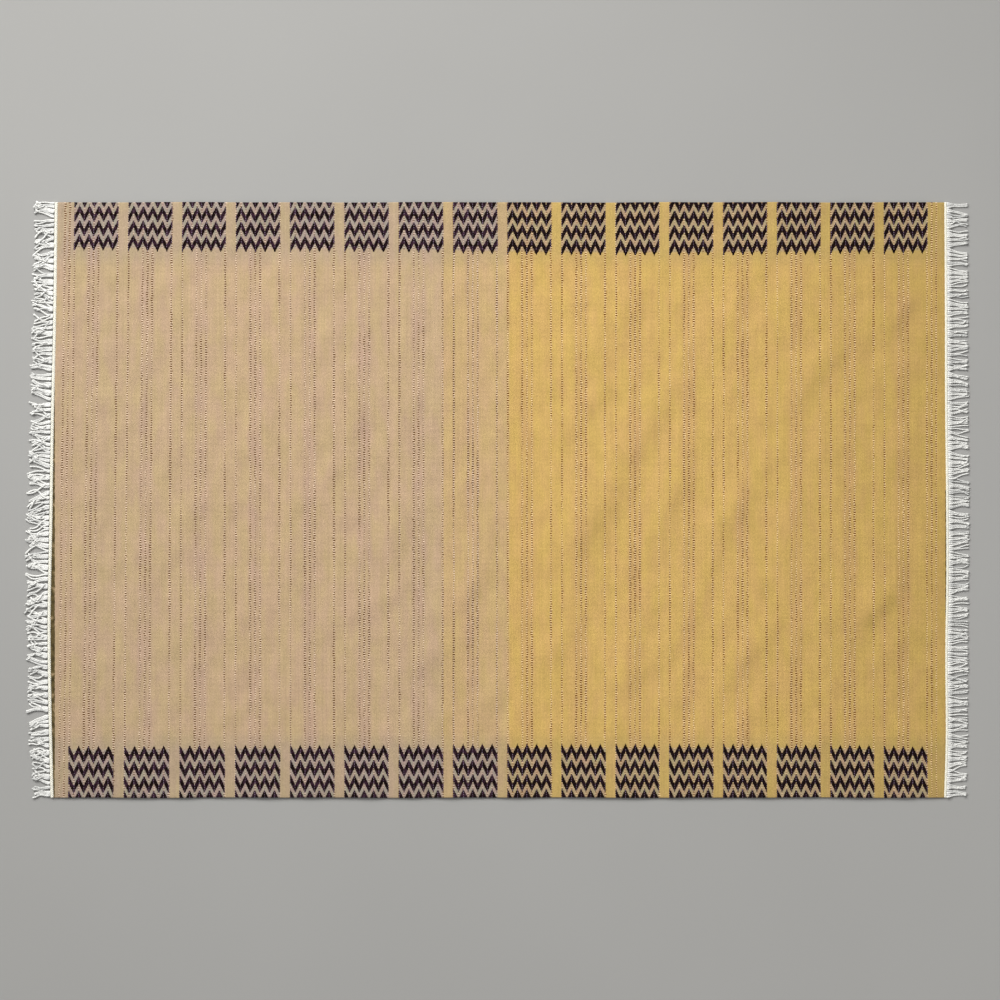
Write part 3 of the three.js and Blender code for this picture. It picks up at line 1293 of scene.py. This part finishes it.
def runs(count, sizes, chance):
    """Numbers neighbours in runs, each of a chance length between the two sizes."""
    lengths = chance.integers(sizes[0], sizes[1] + 1, count)
    return np.repeat(np.arange(count), lengths)[:count]


def middles(groups, places):
    """The middle of each group of places."""
    return np.bincount(groups, places) / np.bincount(groups)


def yarn_taper(end):
    """A yarn's thickness along its length: swollen at its root, and opening a little towards its cut end."""
    swell = end.root_swell * (1 - soft_step(YARN_PARTS / ROOT_REACH))
    return 1 + swell + OPEN_SWELL * soft_step((YARN_PARTS - OPEN_START) / OPEN_REACH)


def resting_height(end):
    """How low a yarn's middle can come along its length: held up by the cord at first, then on the floor."""
    held_up = end.rise * (1 - soft_step(YARN_PARTS / HOLD_REACH))
    return REST_HEIGHT * end.yarn_radius * yarn_taper(end) + held_up


def loose_paths(end, chance):
    """Paths of an end's yarns before they settle: out of the cord in wisps, in clumps, then loose."""
    cloth = bpy.context.scene.rug_cloth
    fringe = bpy.context.scene.rug_fringe
    half_wide = cloth.wide_side / 2
    pitch = cloth.wide_side / end.yarns
    root = (np.arange(end.yarns) + 0.5 + chance.normal(0, ROOT_STRAY, end.yarns)) * pitch - half_wide
    wisp = runs(end.yarns, end.wisp, chance)
    clump = runs(wisp[-1] + 1, end.clump, chance)[wisp]
    clumps = clump[-1] + 1
    astray = (chance.random(end.yarns) < end.crossing) * chance.choice((-1, 1), end.yarns)
    home = np.clip(clump + astray, 0, clumps - 1)
    wisp_middle = middles(wisp, root)[wisp]
    pull = end.gather * chance.uniform(*PULL_RANGE, len(wisp))[wisp]
    hook = chance.normal(0, end.curl, end.yarns)
    wave = chance.uniform(0, 2 * math.pi, end.yarns)

    part = YARN_PARTS
    free = soft_step(part / FREE_REACH)[None, :]
    moves = (
        (end.draw * (wisp_middle - root), end.held + (1 - end.held) * soft_step(part / DRAW_REACH)),
        (pull * (middles(clump, root)[home] - wisp_middle), soft_step((part - PULL_START) / PULL_REACH)),
        (chance.normal(0, end.lean, clumps)[home], part**LEAN_POWER),
        (chance.normal(0, end.spread, end.yarns), soft_step((part - SPREAD_START) / (1 - SPREAD_START))),
        (hook, part**HOOK_POWER),
    )
    side = root[:, None] + sum(by[:, None] * when[None, :] for by, when in moves)
    side += end.waviness * np.sin(WAVE_ANGLE * part[None, :] + wave[:, None]) * free
    side = np.clip(side, -half_wide, half_wide)
    inside = ROOT_DEPTH * end.cord_radius
    reach = read_rows(end.rows, "fringe", root) * chance.normal(1.0, end.ragged, end.yarns)
    reach += fringe.cord_span - inside + end.spare
    hook_loss = HOOK_LOSS * np.abs(hook)[:, None] * part[None, :] ** HOOK_LOSS_POWER
    out = reach[:, None] * part[None, :] - hook_loss
    layer = chance.uniform(0, LAYERS, end.yarns)[:, None] * free
    up = resting_height(end)[None, :] + LAYER_HEIGHT * end.yarn_radius * layer
    start = end_place(end, np.clip(root, -half_wide, half_wide), inside)
    return np.stack([start[:, None] + end.side * out, side, up], -1)


def crossing_pairs(points, owner, wide):
    """Pairs of points of different yarns that are nearer than a yarn's width, and the ways between them."""
    order = np.argsort(points[:, 1], kind="stable")
    ranked = points[order]
    last = np.searchsorted(ranked[:, 1], ranked[:, 1] + wide)
    spread = last - np.arange(len(order)) - 1
    first = np.repeat(np.arange(len(order)), spread)
    second = np.arange(len(first)) - np.repeat(np.cumsum(spread) - spread, spread) + first + 1
    one, two = order[first], order[second]
    apart = points[one] - points[two]
    gap = np.linalg.norm(apart, axis=1)
    meet = (gap < wide) & (owner[one] != owner[two])
    return one[meet], two[meet], apart[meet], gap[meet]


def settle(paths, radius, ground, rounds):
    """Lets yarns sink to the floor, keep their length and push each other apart where they cross."""
    count, steps, _ = paths.shape
    spans = np.linalg.norm(np.diff(paths, axis=1), axis=2)
    owner = np.repeat(np.arange(count), steps)
    wide = 2 * radius
    for _ in range(rounds):
        points = paths.reshape(-1, 3)
        one, two, apart, gap = crossing_pairs(points, owner, wide)
        apart[:, 2] += np.where(apart[:, 2] >= 0, CLIMB, -CLIMB) * radius
        push = apart / np.linalg.norm(apart, axis=1, keepdims=True) * ((wide - gap) * PUSH_SHARE)[:, None]
        move = np.zeros_like(points)
        for axis in range(3):
            move[:, axis] += np.bincount(one, push[:, axis], len(points))
            move[:, axis] -= np.bincount(two, push[:, axis], len(points))
        move = np.clip(move, -PUSH_LIMIT * radius, PUSH_LIMIT * radius).reshape(paths.shape)
        move[:, :HELD_STEPS] = 0
        moved = paths + move
        moved[:, HELD_STEPS:, 2] -= SINK * radius
        moved[:, 2:-1] += STIFFNESS * ((moved[:, 1:-2] + moved[:, 3:]) / 2 - moved[:, 2:-1])
        moved[:, :, 2] = np.maximum(moved[:, :, 2], ground)
        for step in range(1, steps):
            leg = moved[:, step] - moved[:, step - 1]
            leg *= (spans[:, step - 1] / np.linalg.norm(leg, axis=1))[:, None]
            moved[:, step] = moved[:, step - 1] + leg
        moved[:, :, 2] = np.maximum(moved[:, :, 2], ground)
        paths = moved
    return paths


def loose_fibres(paths, fringe, chance):
    """Paths of the fine fibres that stand off each cut yarn end."""
    count = len(paths) * fringe.fibres
    tips = np.repeat(paths[:, -2], fringe.fibres, axis=0)
    ahead = np.repeat(paths[:, -1] - paths[:, -3], fringe.fibres, axis=0)
    ahead /= np.linalg.norm(ahead, axis=1, keepdims=True)
    ways = ahead + chance.normal(0, 1, (count, 3)) * FIBRE_PARTING
    ways /= np.linalg.norm(ways, axis=1, keepdims=True)
    bends = chance.normal(0, 1, (count, 3)) * FIBRE_BEND
    reach = fringe.fibre_reach * chance.uniform(*FIBRE_LENGTHS, count)
    part = np.linspace(0, 1, len(FIBRE_TAPER))[None, :, None]
    made = tips[:, None] + reach[:, None, None] * (ways[:, None] * part + bends[:, None] * part**2)
    made[:, :, 2] = np.maximum(made[:, :, 2], fringe.fibre_radius)
    return made


class RUG_OT_lay_fringes(Operator):
    """Lay a fringe of twisted cotton warp yarns at each end, settled on the floor"""

    bl_idname = "rug.lay_fringes"
    bl_label = "Lay the fringes"

    def execute(self, context):
        fringe = context.scene.rug_fringe
        material = plied_cotton("yarn_cotton", fringe.cotton, fringe.shade)
        loose = plain_cotton("fibre_cotton", fringe.cotton)
        rounds = fringe.settle_rounds
        fine = YarnMake(fringe.fibre_radius, fringe.twist, FIBRE_SIDES, FIBRE_TAPER, 0.0)
        for end in ENDS:
            chance = np.random.default_rng(end.seed)
            paths = loose_paths(end, chance)
            paths = settle(paths, CLOSENESS * end.yarn_radius, resting_height(end), rounds)
            taper = yarn_taper(end)
            taper[-1] = YARN_TIP
            tints = end.greyness + (1 - end.greyness) * chance.random(end.yarns) ** 2
            turn = chance.uniform(0, 2 * math.pi, (end.yarns, 1))
            make = YarnMake(end.yarn_radius, fringe.twist, YARN_SIDES, taper, end.ply, turn)
            yarn_piece(f"fringe_yarns_{end.word}", end, material, paths, tints, make)
            fibres = loose_fibres(paths, fringe, chance)
            yarn_piece(f"fringe_fibres_{end.word}", end, loose, fibres, np.zeros(len(fibres)), fine)
        return {"FINISHED"}


class RUG_OT_set_stage(Operator):
    """Set the plain floor, the soft studio light and the camera straight above the rug"""

    bl_idname = "rug.set_stage"
    bl_label = "Set the stage"

    def execute(self, context):
        stage = context.scene.rug_stage
        self.lay_floor(context, stage)
        day = bpy.data.lights.new("day_light", "SUN")
        day.angle = DAY_ANGLE
        self.add_light(context, day, stage.day_strength, DAY_PLACE)
        key = bpy.data.lights.new("key_light", "AREA")
        key.size = KEY_SIZE
        key.spread = KEY_SPREAD
        self.add_light(context, key, stage.key_power, KEY_PLACE)
        fill = bpy.data.lights.new("fill_light", "AREA")
        fill.size = FILL_SIZE
        self.add_light(context, fill, stage.fill_power, FILL_PLACE)
        world = bpy.data.worlds.new("studio_world")
        world.use_nodes = True
        sky = world.node_tree.nodes["Background"]
        sky.inputs["Color"].default_value = (1.0, 1.0, 1.0, 1.0)
        sky.inputs["Strength"].default_value = stage.sky
        context.scene.world = world
        context.scene.view_settings.view_transform = "Standard"
        # A smoothed guide would wipe the dots of the weave away
        context.scene.cycles.denoising_prefilter = "NONE"
        lens = bpy.data.cameras.new("photo_camera")
        lens.lens = stage.lens
        camera = bpy.data.objects.new("photo_camera", lens)
        camera.location = (0.0, 0.0, stage.camera_height)
        context.collection.objects.link(camera)
        context.scene.camera = camera
        return {"FINISHED"}

    def lay_floor(self, context, stage):
        """Lays a plain round floor under the rug."""
        start_piece()
        bpy.ops.mesh.primitive_circle_add(vertices=FLOOR_CORNERS, radius=FLOOR_RADIUS, fill_type="NGON")
        floor = context.object
        floor.name = floor.data.name = "studio_floor"
        floor.data.materials.append(studio_floor(stage.floor_colour))

    def add_light(self, context, light, power, place):
        """Hangs a light that shines at the middle of the rug."""
        light.energy = power
        holder = bpy.data.objects.new(light.name, light)
        holder.location = place
        holder.rotation_euler = holder.location.to_track_quat("Z", "Y").to_euler()
        context.collection.objects.link(holder)


class RUG_PT_panel(Panel):
    """The rug's making, in order"""

    bl_label = "Handwoven rug"
    bl_idname = "RUG_PT_panel"
    bl_space_type = "VIEW_3D"
    bl_region_type = "UI"
    bl_category = "Rug"

    def draw(self, context):
        for operator in OPERATORS:
            self.layout.operator(operator.bl_idname)
        for group in SETTINGS:
            box = self.layout.box()
            for name in SETTINGS[group].__annotations__:
                box.prop(getattr(context.scene, group), name)


OPERATORS = (RUG_OT_set_stage, RUG_OT_weave_field, RUG_OT_twine_cords, RUG_OT_lay_fringes)
SETTINGS = {
    "rug_cloth": RugClothSettings,
    "rug_weave": RugWeaveSettings,
    "rug_fringe": RugFringeSettings,
    "rug_stage": RugStageSettings,
}


def register():
    """Registers the settings, the operators and the panel."""
    for made in (*SETTINGS.values(), *OPERATORS, RUG_PT_panel):
        bpy.utils.register_class(made)
    for name, group in SETTINGS.items():
        setattr(bpy.types.Scene, name, PointerProperty(type=group))


def unregister():
    """Takes the settings, the operators and the panel away again."""
    for name in SETTINGS:
        delattr(bpy.types.Scene, name)
    for made in reversed((*SETTINGS.values(), *OPERATORS, RUG_PT_panel)):
        bpy.utils.unregister_class(made)


def main():
    """Makes the rug on its stage."""
    register()
    bpy.ops.rug.set_stage()
    bpy.ops.rug.weave_field()
    bpy.ops.rug.twine_cords()
    bpy.ops.rug.lay_fringes()


if __name__ == "__main__":
    main()
